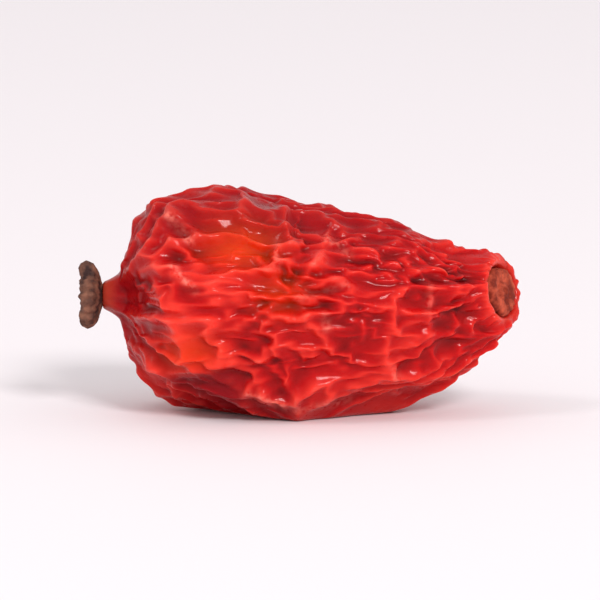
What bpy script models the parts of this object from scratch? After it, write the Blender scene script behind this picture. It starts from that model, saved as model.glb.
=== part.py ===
"""A dried barberry at its real size: the wrinkled fruit, its stigma and its stalk scar.

Metres, +Z up. The fruit lies on its side on the floor plane z = 0. The stigma end is at -X, the stalk end
at +X, and the front is the -Y side. The sizes below are in millimetres and are turned to metres by MM.
"""

import math

import bmesh
import bpy
import numpy as np
from mathutils import Euler, Matrix, Vector, noise

MM = 0.001

# The fruit: its length on each side of its middle, half its depth and height, and where its middle lies
STIGMA_LENGTH = 3.80
HALF_LENGTH = 4.20
HALF_DEPTH = 2.28
HALF_HEIGHT = 2.34
FRUIT_MIDDLE = (0.33, 0.02, 2.25)
FRUIT_GRID = 30
EVENING_PASSES = 2
EVENING_FACTOR = 0.35

# How square each end is on its lower and on its upper side, where 2 is an ellipse
STIGMA_END_BLUNTNESS = (3.3, 4.8)
STALK_END_BLUNTNESS = (2.3, 2.8)
# How soon one end's form gives way to the other's
END_BLEND = 3

# How much of the height is left above and below the middle, at places along the fruit from its middle
ALONG = (-4.2, -3.6, -2.8, -1.6, -0.5, 0.4, 1.6, 2.4, 3.0, 3.5, 3.9)
UPPER_SHARE = (1.05, 1.04, 1.02, 1.00, 0.90, 0.82, 0.73, 0.61, 0.60, 0.66, 0.78)
LOWER_SHARE = (0.88, 0.97, 1.00, 0.95, 0.97, 0.95, 0.88, 0.85, 0.73, 0.61, 0.54)
ALONG_EASE = (-0.30, -0.15, 0.00, 0.15, 0.30)

# The flat spot that the fruit rests on: its corners from the fruit's middle, and how the skin leaves it
REST_CORNERS = ((-0.38, -1.15), (1.50, 0.05), (0.50, 1.15), (-2.00, 0.35))
REST_SKIRT = 0.50
REST_LIFT = 0.03
REST_SLOPE = 0.12
# Between which heights of the skin above the floor the pressing fades out
REST_REACH = (0.35, 1.00)

# The front, where it was seen from: a little above the floor
VIEW_RISE = math.radians(8)

# Collapsed facets of the front: lean toward the stalk end and turn up from the front, in degrees, and how
# deep each cuts, as a share of the half height
FRONT_FACETS = (
    (-40, -66, 0.085),
    (16, -62, 0.075),
    (-24, -22, 0.060),
    (-27, 44, 0.070),
    (4, 58, 0.060),
    (20, 34, 0.070),
    (24, 8, 0.050),
    (36, -24, 0.070),
    (50, -4, 0.060),
    (68, 21, 0.060),
    (-62, 8, 0.050),
    (-52, 62, 0.025),
    (-54, -34, 0.070),
    (2, -24, 0.050),
    (45, 55, 0.080),
    (-6, 18, 0.040),
)
OTHER_FACETS = 30
OTHER_FACET_DEPTHS = (0.04, 0.09)
FACET_SEED = 7
FACET_APART = 0.84
FACET_SCATTER = 0.14
FACET_SHARPNESS = 70
# A facet cuts only the directions that face it by more than this, and leaves the others at this length
FACET_FACING = 0.2
FACET_CLEAR = 9.0
# How the facets' edges wander: swings in one unit, offset into the noise, and reach
FACET_WANDER = ((1.7, 3, 0.10), (5.0, 3, 0.035))

# Ridges pinched up along the edges of the facets, and the two finer nets, as shares of the half height
FACET_RIDGE = 0.080
FACET_RIDGE_WIDTH = 0.060
FOLD_HEIGHT = 0.140
FOLDS_ROUND = 2.3
FOLD_WIDTH = 0.27
FOLD_STRETCH = 2.4
# Where the folds run out toward the ends, as a share of the distance from the long axis, and how fast
FOLD_FADE = 0.75
FOLD_FADE_POWER = 1.6
# How the folds bend, wander along and round the fruit, and swell: swings, offset, and reach
FOLD_BEND = (1.1, 5, 0.22)
FOLD_DRIFT_ALONG = ((2.6, 17, 0.50), (7, 23, 0.22))
FOLD_DRIFT_ROUND = ((8, 41, 0.10), (17, 5, 0.05))
FOLD_STRENGTH = 1.05
FOLD_SWELLING = ((2.2, 31, 0.60),)
CROSS_FOLD_HEIGHT = 0.026
CROSS_FOLD_STEEPNESS = 2.2
CROSS_FOLD_OFFSET = 11
# Turns the cross folds out of line with the fruit's axes
CROSS_FOLD_SLANT = np.array(Euler((0.6, 0.5, 0.4)).to_matrix())

# Single ridges of the front, in the plane seen from there, in mm: from x, up, to x, up, and the height
FRONT_RIDGES = (
    (-3.43, 1.02, -2.19, 0.95, 0.10),
    (-2.19, 0.95, -1.41, 0.63, 0.12),
    (-1.41, 0.63, -0.38, 0.28, 0.10),
    (-2.05, 1.16, -1.06, 1.23, 0.08),
    (-1.06, 1.23, -0.38, 0.62, 0.10),
    (-0.38, 0.62, -0.38, 0.05, 0.13),
    (-0.38, 0.62, 0.37, 0.87, 0.10),
    (0.37, 0.87, 1.36, 1.02, 0.08),
    (-0.49, 2.54, -1.16, 3.22, 0.12),
    (-0.49, 2.54, -0.63, 4.40, 0.08),
    (-0.49, 2.54, 0.10, 3.35, 0.11),
    (0.10, 3.35, 0.37, 4.14, 0.07),
    (-0.49, 2.54, 1.08, 3.08, 0.09),
    (-0.49, 2.54, 2.43, 2.15, 0.10),
    (-0.49, 2.54, 0.22, 1.58, 0.09),
    (-0.49, 2.54, -1.62, 1.87, 0.10),
    (-1.62, 1.87, -3.18, 1.58, 0.07),
    (-0.49, 2.54, -2.19, 2.44, 0.08),
    (-2.97, 4.25, -2.40, 3.71, 0.12),
    (-2.97, 3.68, -2.37, 3.11, 0.12),
    (-3.50, 3.08, -2.90, 3.11, 0.09),
    (-1.55, 4.35, -1.48, 3.71, 0.07),
    (-0.20, 4.35, 1.08, 3.43, 0.09),
    (1.79, 3.22, 2.50, 2.58, 0.08),
    (2.35, 2.70, 2.28, 1.58, 0.07),
    (1.22, 1.37, 2.07, 1.58, 0.07),
)
FRONT_RIDGE_WIDTH = 0.16
FRONT_RELIEF = 1.3
# Over how many mm from the middle plane the front's own relief comes up
FRONT_FADE = 0.6
# Dents of the front: x, up, radius and depth
FRONT_DENTS = (
    (-0.50, 2.97, 0.30, 0.16),
    (-3.62, 2.55, 0.45, 0.20),
    (0.75, 3.45, 0.45, 0.10),
    (-2.60, 0.75, 0.60, 0.10),
    (2.75, 2.05, 0.50, 0.10),
)

# The drawn-in stigma end: a funnel with a low neck in it
STIGMA_UP = 0.20
FUNNEL_RADIUS = 0.90
FUNNEL_DEPTH = 0.16
NECK_TIP = -4.42
# From the neck's middle outwards: where a point of the skin was, where it goes, and its share of the tip
NECK_FROM = (0.00, 0.33, 0.45, 0.62, 1.00, 1.50, 2.00)
NECK_TO = (0.00, 0.28, 0.36, 0.50, 0.86, 1.42, 2.00)
NECK_SHARE = (1.00, 0.98, 0.78, 0.50, 0.27, 0.10, 0.00)

# The stigma, turned about its own axis: radius and height from its seat on the neck
STIGMA_PROFILE = (
    (0.00, 0.27),
    (0.16, 0.28),
    (0.34, 0.36),
    (0.50, 0.41),
    (0.61, 0.37),
    (0.66, 0.26),
    (0.61, 0.13),
    (0.46, 0.05),
    (0.30, 0.00),
    (0.12, 0.00),
    (0.12, -0.26),
    (0.08, -0.30),
    (0.00, -0.30),
)
STIGMA_STEPS = 36
# The uneven rim: waves in one turn, their height as a share of the radius, and where they start
STIGMA_WAVES = ((5, 0.05, 0.6), (9, 0.03, 2.1), (14, 0.02, 0.3))
# How much more the rim bends up and down than in and out
RIM_BEND = 1.5
STIGMA_HOLE_TOP = 0.2

# The stalk scar, turned the same way, and its place on the fruit
SCAR_PROFILE = (
    (0.00, 0.10),
    (0.09, 0.11),
    (0.17, 0.06),
    (0.34, 0.09),
    (0.45, 0.07),
    (0.50, 0.00),
    (0.50, -0.20),
    (0.45, -0.24),
    (0.00, -0.24),
)
SCAR_STEPS = 32
SCAR_PLACE = (3.82, -0.34, 0.33)
SCAR_FACES = (0.84, -0.50, 0.20)
SCAR_LIP_RADIUS = 0.70
SCAR_LIP_WIDTH = 0.20
SCAR_LIP_HEIGHT = 0.07
# From the scar's middle outwards, in mm: where its flat surroundings start to run out, and where they end
SCAR_BLEND = (0.70, 1.15)
# How deep below the scar the skin still follows it, and over what depth that fades
SCAR_DEPTH = 1.0
SCAR_DEPTH_FADE = 0.4
SCAR_HOLE_TOP = 0.8

# How far a piece stays from the walls of the hole it sits in, and how far its waves widen the peg
CLEARANCE = 0.03
PEG_SWELL = 1.15

SKIN_RED = (0.60, 0.025, 0.020, 1)
STIGMA_BROWN = (0.15, 0.075, 0.04, 1)
SCAR_BROWN = (0.30, 0.07, 0.03, 1)


def clear_scene():
    for obj in list(bpy.data.objects):
        bpy.data.objects.remove(obj)


def new_collection(name, shown=True):
    collection = bpy.data.collections.new(name)
    bpy.context.scene.collection.children.link(collection)
    collection.hide_render = not shown
    return collection


def new_material(name, colour, roughness):
    material = bpy.data.materials.new(name)
    material.use_nodes = True
    shader = material.node_tree.nodes["Principled BSDF"]
    shader.inputs["Base Color"].default_value = colour
    shader.inputs["Roughness"].default_value = roughness
    shader.inputs["Metallic"].default_value = 0.0
    return material


def direction(lean, turn):
    """Unit vector that leans from the middle toward the stalk end and turns up from the front."""
    lean = math.radians(lean)
    turn = math.radians(turn)
    across = math.cos(lean)
    return np.array((math.sin(lean), -across * math.cos(turn), across * math.sin(turn)))


def facet_planes():
    """Normals and depths of the facets: the front's, then others spread evenly over the rest."""
    normals = [direction(lean, turn) for lean, turn, _ in FRONT_FACETS]
    depths = [depth for _, _, depth in FRONT_FACETS]
    draw = np.random.default_rng(FACET_SEED)
    golden_angle = math.pi * (3 - math.sqrt(5))
    for i in range(OTHER_FACETS):
        along = 1 - 2 * (i + 0.5) / OTHER_FACETS
        out = math.sqrt(1 - along * along)
        turn = golden_angle * i
        normal = np.array((along, out * math.cos(turn), out * math.sin(turn)))
        normal += draw.normal(0, FACET_SCATTER, 3)
        normal /= np.linalg.norm(normal)
        depth = draw.uniform(*OTHER_FACET_DEPTHS)
        if max(normal @ other for other in normals[: len(FRONT_FACETS)]) < FACET_APART:
            normals.append(normal)
            depths.append(depth)
    return np.array(normals), np.array(depths)


def noise_at(points):
    return np.array([noise.noise(Vector(point)) for point in points])


def drift(points, scale, offset):
    """A noise vector at each point, so that ridges wander instead of running straight."""
    moved = points * scale + offset
    return np.column_stack([noise_at(moved + 10 * axis) for axis in range(3)])


def swings(points, waves):
    """The sum of several noises at each point, each with its own scale, offset and reach."""
    return sum(reach * noise_at(points * scale + offset) for scale, offset, reach in waves)


def raised_net(points, width):
    """1 on the border between two cells of a cell pattern, falling off inside them."""
    seeds = np.array([noise.voronoi(Vector(point))[0][:2] for point in points])
    return np.exp((seeds[:, 0] - seeds[:, 1]) / width)


def ridge(distance, width):
    """A crest that is sharp on top and runs out softly."""
    return np.exp(-distance / width)


def rounded_body(unit):
    """Share of the half sizes in each direction: blunt toward the stigma, tapered toward the stalk."""
    upper = 0.5 + 0.5 * unit[:, 2]
    stigma = np.interp(upper, (0, 1), STIGMA_END_BLUNTNESS)
    stalk = np.interp(upper, (0, 1), STALK_END_BLUNTNESS)
    power = stigma + (stalk - stigma) * (0.5 + 0.5 * np.tanh(unit[:, 0] * END_BLEND))
    out = np.hypot(unit[:, 1], unit[:, 2])
    return (np.abs(unit[:, 0]) ** power + out**power) ** (-1 / power)


def shares_along(across, shares):
    """The shares at each place along the fruit, with the corners between them rounded off."""
    return np.mean([np.interp(across + step, ALONG, shares) for step in ALONG_EASE], axis=0)


def to_size(unit, body):
    """The body's points in mm from its middle, held to the lines of its top and its bottom."""
    points = unit * body[:, None] * np.array((HALF_LENGTH, HALF_DEPTH, HALF_HEIGHT))
    points[:, 0] *= np.where(unit[:, 0] < 0, STIGMA_LENGTH / HALF_LENGTH, 1)
    upper = shares_along(points[:, 0], UPPER_SHARE)
    lower = shares_along(points[:, 0], LOWER_SHARE)
    points[:, 1] *= (upper + lower) / 2
    points[:, 2] *= np.where(unit[:, 2] > 0, upper, lower)
    return points


def faceted(unit):
    """What the facets leave of each direction's length, with a thin ridge pinched up where two meet."""
    wander = unit + sum(reach * drift(unit, scale, offset) for scale, offset, reach in FACET_WANDER)
    wander /= np.linalg.norm(wander, axis=1)[:, None]
    normals, depths = facet_planes()
    facing = wander @ normals.T
    cuts = (1 - depths) / np.maximum(facing, FACET_FACING)
    cuts = np.where(facing > FACET_FACING, cuts, FACET_CLEAR)
    cuts = np.column_stack([np.ones(len(unit)), cuts])
    kept = -np.log(np.exp(-FACET_SHARPNESS * cuts).sum(axis=1)) / FACET_SHARPNESS
    nearest = np.partition(cuts, 1, axis=1)
    pinch = ridge(nearest[:, 1] - nearest[:, 0], FACET_RIDGE_WIDTH)
    return kept - FACET_RIDGE * (1 - pinch), wander


def lengthwise(unit, wander, body):
    """Coordinates in which a cell pattern runs along the fruit and closes in on both its ends."""
    along = wander[:, 0] * body * HALF_LENGTH / HALF_HEIGHT
    turn = np.arctan2(wander[:, 2], -wander[:, 1])
    scale, offset, reach = FOLD_BEND
    turn += reach * noise_at(np.column_stack([along, unit[:, 1] + offset, unit[:, 2]]) * scale)
    along = along + swings(unit, FOLD_DRIFT_ALONG)
    turn += swings(unit, FOLD_DRIFT_ROUND)
    return np.column_stack([np.cos(turn), np.sin(turn), along / FOLD_STRETCH])


def folds(unit, wander, body):
    """Height of the folds, as a share of the half height."""
    fade = np.clip(np.hypot(unit[:, 1], unit[:, 2]) / FOLD_FADE, 0, 1) ** FOLD_FADE_POWER
    strength = FOLD_STRENGTH + swings(unit, FOLD_SWELLING)
    run = lengthwise(unit, wander, body)
    height = FOLD_HEIGHT * fade * strength * raised_net(FOLDS_ROUND * run, FOLD_WIDTH)
    half = np.array((HALF_LENGTH, HALF_DEPTH, HALF_HEIGHT))
    slanted = unit * body[:, None] * half @ CROSS_FOLD_SLANT
    cross = 1 - CROSS_FOLD_STEEPNESS * np.abs(noise_at(slanted + CROSS_FOLD_OFFSET))
    return height + CROSS_FOLD_HEIGHT * cross


def seen_from_front(points):
    """Across and up in the plane that the front is seen in, up from the lowest point seen."""
    up = points[:, 2] * math.cos(VIEW_RISE) + points[:, 1] * math.sin(VIEW_RISE)
    return points[:, 0], up + HALF_HEIGHT


def front_relief(points):
    """Height in mm of the front's own ridges and dents, nothing on the far side."""
    across, up = seen_from_front(points)
    near = np.clip(-points[:, 1] / FRONT_FADE, 0, 1)
    height = np.zeros(len(points))
    for x1, up1, x2, up2, crest in FRONT_RIDGES:
        run = np.array((x2 - x1, up2 - up1))
        share = ((across - x1) * run[0] + (up - up1) * run[1]) / (run @ run)
        share = np.clip(share, 0, 1)
        away = np.hypot(across - x1 - share * run[0], up - up1 - share * run[1])
        height = np.maximum(height, crest * ridge(away, FRONT_RIDGE_WIDTH))
    for x, level, radius, depth in FRONT_DENTS:
        away = np.hypot(across - x, up - level)
        height -= depth * np.exp(-((away / radius) ** 2))
    return FRONT_RELIEF * near * height


def stigma_end(points):
    """Draws the skin of the stigma end in to a funnel, and out of its middle to the neck."""
    apart = points[:, 1:] - np.array((0, STIGMA_UP))
    out = np.hypot(apart[:, 0], apart[:, 1])
    end = points[:, 0] < 0
    funnel = FUNNEL_DEPTH * np.exp(-((out / FUNNEL_RADIUS) ** 2))
    share = np.interp(out, NECK_FROM, NECK_SHARE)
    drawn = np.interp(out, NECK_FROM, NECK_TO) / np.maximum(out, 1e-9)
    along = (points[:, 0] + funnel) * (1 - share) + NECK_TIP * share
    moved = points.copy()
    moved[end, 0] = along[end]
    near = end & (out < NECK_FROM[-1])
    moved[near, 1:] = np.array((0, STIGMA_UP)) + apart[near] * drawn[near, None]
    return moved


def stalk_seat(points):
    """Levels the skin round the stalk scar and swells it to a lip."""
    faces = np.array(SCAR_FACES) / np.linalg.norm(SCAR_FACES)
    apart = points - np.array(SCAR_PLACE)
    depth = apart @ faces
    out = np.sqrt(np.maximum((apart**2).sum(axis=1) - depth**2, 0))
    inner, outer = SCAR_BLEND
    share = np.clip((outer - out) / (outer - inner), 0, 1) ** 2
    share *= np.clip((depth + SCAR_DEPTH) / SCAR_DEPTH_FADE, 0, 1)
    lip = SCAR_LIP_HEIGHT * np.exp(-(((out - SCAR_LIP_RADIUS) / SCAR_LIP_WIDTH) ** 2))
    return points + faces * (share * (lip - depth))[:, None]


def off_flat_spot(points):
    """How far each point lies outside the flat spot's outline, seen from above."""
    corners = np.array(REST_CORNERS) + np.array(FRUIT_MIDDLE[:2])
    away = np.full(len(points), np.inf)
    outside = np.zeros(len(points), bool)
    for start, end in zip(corners, np.roll(corners, -1, axis=0)):
        run = end - start
        apart = points[:, :2] - start
        share = np.clip(apart @ run / (run @ run), 0, 1)
        away = np.minimum(away, np.hypot(*(apart - share[:, None] * run).T))
        outside |= apart[:, 0] * run[1] > apart[:, 1] * run[0]
    return away * outside


def pressed_flat(points):
    """Sinks the underside to the floor on the flat spot, and puts one vertex on each of its corners."""
    away = off_flat_spot(points)
    start, end = REST_REACH
    near_floor = np.clip((end - points[:, 2]) / (end - start), 0, 1)
    low = near_floor > 0
    sunk = points[:, 2] * (1 - near_floor * np.exp(-((away / REST_SKIRT) ** 2)))
    lifted = np.maximum(sunk, REST_LIFT + REST_SLOPE * away)
    height = np.where(away > 0, lifted, 0)
    pressed = points.copy()
    pressed[low, 2] = height[low]
    for corner in REST_CORNERS:
        place = np.array((*corner, 0)) + np.array((*FRUIT_MIDDLE[:2], 0))
        nearest = np.argmin(((pressed - place) ** 2).sum(axis=1))
        pressed[nearest] = place
    return pressed


def fruit_surface(unit):
    """The skin's points in mm from the fruit's middle, one for each unit vector, before it rests."""
    kept, wander = faceted(unit)
    body = rounded_body(unit) * kept
    body += folds(unit, wander, body)
    points = to_size(unit, body)
    outward = points / np.array((HALF_LENGTH, HALF_DEPTH, HALF_HEIGHT)) ** 2
    outward /= np.linalg.norm(outward, axis=1)[:, None]
    points += outward * front_relief(points)[:, None]
    return stigma_end(stalk_seat(points))


def sphere_mesh(name, grid):
    """A cube of grid by grid faces a side, blown up to a unit sphere of nearly even faces."""
    shape = bmesh.new()
    bmesh.ops.create_cube(shape, size=2)
    bmesh.ops.subdivide_edges(shape, edges=shape.edges[:], cuts=grid - 1, use_grid_fill=True)
    mesh = bpy.data.meshes.new(name)
    shape.to_mesh(mesh)
    shape.free()
    corners = np.empty(3 * len(mesh.vertices))
    mesh.vertices.foreach_get("co", corners)
    square = corners.reshape(-1, 3) ** 2
    a = square[:, (1, 2, 0)]
    b = square[:, (2, 0, 1)]
    unit = corners.reshape(-1, 3) * np.sqrt(1 - a / 2 - b / 2 + a * b / 3)
    return mesh, unit / np.linalg.norm(unit, axis=1)[:, None]


def smooth(mesh, angle):
    mesh.shade_smooth()
    mesh.set_sharp_from_angle(angle=math.radians(angle))


def evened(mesh, points):
    """The points with any step narrower than the mesh can follow smoothed away."""
    shape = bmesh.new()
    shape.from_mesh(mesh)
    for vertex, point in zip(shape.verts, points):
        vertex.co = point
    for _ in range(EVENING_PASSES):
        bmesh.ops.smooth_vert(
            shape,
            verts=shape.verts[:],
            factor=EVENING_FACTOR,
            use_axis_x=True,
            use_axis_y=True,
            use_axis_z=True,
        )
    even = np.array([vertex.co for vertex in shape.verts])
    shape.free()
    return even


def make_fruit(collection):
    mesh, unit = sphere_mesh("fruit", FRUIT_GRID)
    points = evened(mesh, fruit_surface(unit)) + np.array(FRUIT_MIDDLE)
    mesh.vertices.foreach_set("co", (pressed_flat(points) * MM).ravel())
    smooth(mesh, 60)
    mesh.materials.append(new_material("dried_skin", SKIN_RED, 0.32))
    fruit = bpy.data.objects.new("fruit", mesh)
    collection.objects.link(fruit)
    return fruit


def turned(name, profile, steps, collection):
    """A closed solid, turned about Z from a profile of (radius, height) that runs top to bottom."""
    mesh = bpy.data.meshes.new(name)
    points = [(radius * MM, 0, height * MM) for radius, height in profile]
    mesh.from_pydata(points, [(i, i + 1) for i in range(len(points) - 1)], [])
    obj = bpy.data.objects.new(name, mesh)
    collection.objects.link(obj)
    screw = obj.modifiers.new("turn", "SCREW")
    screw.steps = steps
    screw.render_steps = steps
    screw.use_merge_vertices = True
    screw.merge_threshold = 1e-6
    screw.use_smooth_shade = True
    return obj


def seat(obj, place, faces):
    """Puts the piece at a place of the fruit, in mm from its middle, its top facing outwards."""
    obj.location = (Vector(place) + Vector(FRUIT_MIDDLE)) * MM
    obj.rotation_mode = "QUATERNION"
    obj.rotation_quaternion = Vector(faces).to_track_quat("Z", "Y")


def wavy_mesh(obj, waves):
    """Makes the turned shape a mesh and gives its rim a shrivelled, uneven edge."""
    graph = bpy.context.evaluated_depsgraph_get()
    mesh = bpy.data.meshes.new_from_object(obj.evaluated_get(graph))
    widest = max(math.hypot(vertex.co.x, vertex.co.y) for vertex in mesh.vertices)
    for vertex in mesh.vertices:
        turn = math.atan2(vertex.co.y, vertex.co.x)
        out = math.hypot(vertex.co.x, vertex.co.y) / widest
        wave = sum(size * math.sin(count * turn + start) for count, size, start in waves)
        vertex.co.x *= 1 + wave * out
        vertex.co.y *= 1 + wave * out
        vertex.co.z *= 1 + RIM_BEND * wave * out**2
    obj.modifiers.clear()
    obj.data = mesh
    smooth(mesh, 50)


def cut_hole(fruit, name, radius, top, bottom, place, faces, cutters):
    """Sinks a round, flat-bottomed hole in the fruit, from top down to bottom along its facing."""
    bpy.ops.mesh.primitive_cylinder_add(vertices=24, radius=radius * MM, depth=(top - bottom) * MM)
    cutter = bpy.context.object
    cutter.name = name
    cutter.data.transform(Matrix.Translation((0, 0, (top + bottom) / 2 * MM)))
    seat(cutter, place, faces)
    for collection in cutter.users_collection:
        collection.objects.unlink(cutter)
    cutters.objects.link(cutter)
    cutter.hide_render = True
    cutter.display_type = "WIRE"
    cut = fruit.modifiers.new(name, "BOOLEAN")
    cut.operation = "DIFFERENCE"
    cut.object = cutter


def make_stigma(fruit, collection, cutters):
    place = (NECK_TIP - CLEARANCE, 0, STIGMA_UP)
    faces = (-1, 0, 0)
    stigma = turned("stigma", STIGMA_PROFILE, STIGMA_STEPS, collection)
    wavy_mesh(stigma, STIGMA_WAVES)
    seat(stigma, place, faces)
    stigma.data.materials.append(new_material("dried_stigma", STIGMA_BROWN, 0.7))
    peg_radius = STIGMA_PROFILE[-3][0]
    peg_end = STIGMA_PROFILE[-1][1]
    hole = peg_radius * PEG_SWELL + CLEARANCE
    bottom = peg_end - CLEARANCE
    cut_hole(fruit, "stigma_hole", hole, STIGMA_HOLE_TOP, bottom, place, faces, cutters)
    return stigma


def make_scar(fruit, collection, cutters):
    scar = turned("stalk_scar", SCAR_PROFILE, SCAR_STEPS, collection)
    seat(scar, SCAR_PLACE, SCAR_FACES)
    scar.data.materials.append(new_material("corky_scar", SCAR_BROWN, 0.8))
    hole = max(radius for radius, _ in SCAR_PROFILE) + CLEARANCE
    bottom = SCAR_PROFILE[-1][1] - CLEARANCE
    cut_hole(fruit, "scar_hole", hole, SCAR_HOLE_TOP, bottom, SCAR_PLACE, SCAR_FACES, cutters)
    return scar


def main():
    clear_scene()
    collection = new_collection("dried_barberry")
    cutters = new_collection("cutters", shown=False)
    fruit = make_fruit(collection)
    make_stigma(fruit, collection, cutters)
    make_scar(fruit, collection, cutters)


if __name__ == "__main__":
    main()
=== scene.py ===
"""A dried barberry dressed for the camera: wrinkled skin, dried stigma and corky stalk scar.

The tables are in millimetres from the middle of the fruit, and the meshes are in metres. The stigma end
is at -X, the stalk end at +X, and the camera looks along +Y from a little above the floor.
"""

import logging
import math
from dataclasses import dataclass
from enum import Enum

import bmesh
import bpy
import numpy as np
from mathutils import Euler, Matrix, Vector, noise

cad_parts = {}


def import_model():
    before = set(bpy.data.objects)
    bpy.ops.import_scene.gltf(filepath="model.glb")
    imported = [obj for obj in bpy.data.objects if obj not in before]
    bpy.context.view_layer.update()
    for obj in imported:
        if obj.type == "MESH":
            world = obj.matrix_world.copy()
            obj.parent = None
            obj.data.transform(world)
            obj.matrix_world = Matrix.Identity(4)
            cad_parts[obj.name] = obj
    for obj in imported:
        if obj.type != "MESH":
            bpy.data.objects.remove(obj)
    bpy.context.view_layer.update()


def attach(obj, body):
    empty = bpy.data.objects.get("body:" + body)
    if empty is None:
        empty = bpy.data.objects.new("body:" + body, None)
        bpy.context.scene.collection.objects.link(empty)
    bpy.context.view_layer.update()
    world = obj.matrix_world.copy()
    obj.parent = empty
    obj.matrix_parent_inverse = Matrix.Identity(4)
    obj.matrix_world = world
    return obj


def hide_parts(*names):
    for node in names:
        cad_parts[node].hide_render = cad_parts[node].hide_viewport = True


# Short names for kinds of value
Array = np.ndarray
Material = bpy.types.Material
Mesh = bpy.types.Mesh
Node = bpy.types.Node
Shape = bmesh.types.BMesh
Socket = bpy.types.NodeSocket
Tree = bpy.types.NodeTree
Triple = tuple[float, float, float]
Pair = tuple[float, float]
Waves = tuple[Triple, ...]

LOG = logging.getLogger("dried_barberry")
MM = 0.001

# Where the middle of the fruit lies, and how far above level the front is seen from
FRUIT_MIDDLE = np.array((0.33, 0.02, 2.25))
VIEW_RISE = math.radians(8)

# Collapsed facets of the front: lean toward the stalk end and turn up from the front, in degrees, and how
# deep each cuts, as a share of the half height
FRONT_FACETS = (
    (-40, -66, 0.085),
    (16, -62, 0.075),
    (-24, -22, 0.060),
    (-27, 44, 0.070),
    (4, 58, 0.060),
    (20, 34, 0.070),
    (24, 8, 0.050),
    (36, -24, 0.070),
    (50, -4, 0.060),
    (68, 21, 0.060),
    (-62, 8, 0.050),
    (-52, 62, 0.025),
    (-54, -34, 0.070),
    (2, -24, 0.050),
    (45, 55, 0.080),
    (-6, 18, 0.040),
)

# Single ridges of the front, in the plane seen from there: from x, up, to x, up, and the height
FRONT_RIDGES = (
    (-3.43, 1.02, -2.19, 0.95, 0.10),
    (-2.19, 0.95, -1.41, 0.63, 0.12),
    (-1.41, 0.63, -0.38, 0.28, 0.10),
    (-2.05, 1.16, -1.06, 1.23, 0.08),
    (-1.06, 1.23, -0.38, 0.62, 0.10),
    (-0.38, 0.62, -0.38, 0.05, 0.13),
    (-0.38, 0.62, 0.37, 0.87, 0.10),
    (0.37, 0.87, 1.36, 1.02, 0.08),
    (-0.49, 2.54, -1.16, 3.22, 0.12),
    (-0.49, 2.54, -0.63, 4.40, 0.08),
    (-0.49, 2.54, 0.10, 3.35, 0.11),
    (0.10, 3.35, 0.37, 4.14, 0.07),
    (-0.49, 2.54, 1.08, 3.08, 0.09),
    (-0.49, 2.54, 2.43, 2.15, 0.10),
    (-0.49, 2.54, 0.22, 1.58, 0.09),
    (-0.49, 2.54, -1.62, 1.87, 0.10),
    (-1.62, 1.87, -3.18, 1.58, 0.07),
    (-0.49, 2.54, -2.19, 2.44, 0.08),
    (-2.97, 4.25, -2.40, 3.71, 0.12),
    (-2.97, 3.68, -2.37, 3.11, 0.12),
    (-3.50, 3.08, -2.90, 3.11, 0.09),
    (-1.55, 4.35, -1.48, 3.71, 0.07),
    (-0.20, 4.35, 1.08, 3.43, 0.09),
    (1.79, 3.22, 2.50, 2.58, 0.08),
    (2.35, 2.70, 2.28, 1.58, 0.07),
    (1.22, 1.37, 2.07, 1.58, 0.07),
)

# Dents of the front: x, up, radius and depth
FRONT_DENTS = (
    (-0.50, 2.97, 0.30, 0.16),
    (-3.62, 2.55, 0.45, 0.20),
    (0.75, 3.45, 0.45, 0.10),
    (-2.60, 0.75, 0.60, 0.10),
    (2.75, 2.05, 0.50, 0.10),
)

# Painted highlights, as pale strokes along ridges of the front: from x, up, to x, up, and the strength
PAINTED_HIGHLIGHT_STROKES = (
    (-3.05, 4.17, -2.59, 3.65, 0.80),
    (-2.93, 3.13, -2.48, 2.62, 0.70),
    (-0.81, 3.70, -0.78, 3.10, 0.40),
    (0.23, 3.70, 0.68, 3.36, 0.50),
    (0.18, 2.10, 0.22, 1.85, 1.00),
    (-0.38, 2.45, 0.60, 2.75, 0.35),
    (1.63, 1.00, 1.67, 0.80, 0.60),
    (-1.38, 0.49, -0.41, 0.16, 0.55),
    (-0.41, 0.16, 0.68, 0.38, 0.45),
    (2.35, 2.70, 2.30, 2.20, 0.35),
)

# Patches of the front painted orange, partly paler flesh and partly painted light shining through the skin:
# x, up, how wide, how high, and the strength
ORANGE_GLOW_PATCHES = (
    (-1.55, 3.65, 0.75, 0.50, 0.85),
    (-2.60, 1.35, 0.60, 0.40, 0.50),
    (-0.75, 2.60, 0.60, 0.50, 0.35),
)

# How much of the height is left above and below the middle, at places along the fruit
ALONG = (-4.2, -3.6, -2.8, -1.6, -0.5, 0.4, 1.6, 2.4, 3.0, 3.5, 3.9)
UPPER_SHARE = (1.05, 1.04, 1.02, 1.00, 0.90, 0.82, 0.73, 0.61, 0.60, 0.66, 0.78)
LOWER_SHARE = (0.88, 0.97, 1.00, 0.95, 0.97, 0.95, 0.88, 0.85, 0.73, 0.61, 0.54)
ALONG_EASE = (-0.30, -0.15, 0.00, 0.15, 0.30)

# The corners of the flat spot that the fruit rests on
REST_CORNERS = ((-0.38, -1.15), (1.50, 0.05), (0.50, 1.15), (-2.00, 0.35))

# From the neck's middle outwards: where a point of the skin was, where it goes, and its share of the tip
NECK_FROM = (0.00, 0.33, 0.45, 0.62, 1.00, 1.50, 2.00)
NECK_TO = (0.00, 0.28, 0.36, 0.50, 0.86, 1.42, 2.00)
NECK_SHARE = (1.00, 0.98, 0.78, 0.50, 0.27, 0.10, 0.00)

# From the stalk scar's middle outwards: the level of the skin under and round it
SCAR_OUT = (0.00, 0.48, 0.53, 0.58, 0.68, 0.85, 1.00)
SCAR_LEVEL = (-0.20, -0.20, -0.04, 0.04, 0.05, 0.00, -0.08)

# Uneven pleats round an axis: how many there are, and how far and how often their spacing sways
NECK_PLEATS = (7, 1.3, 2)
SCAR_PLEATS = (11, 2, 3)

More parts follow.
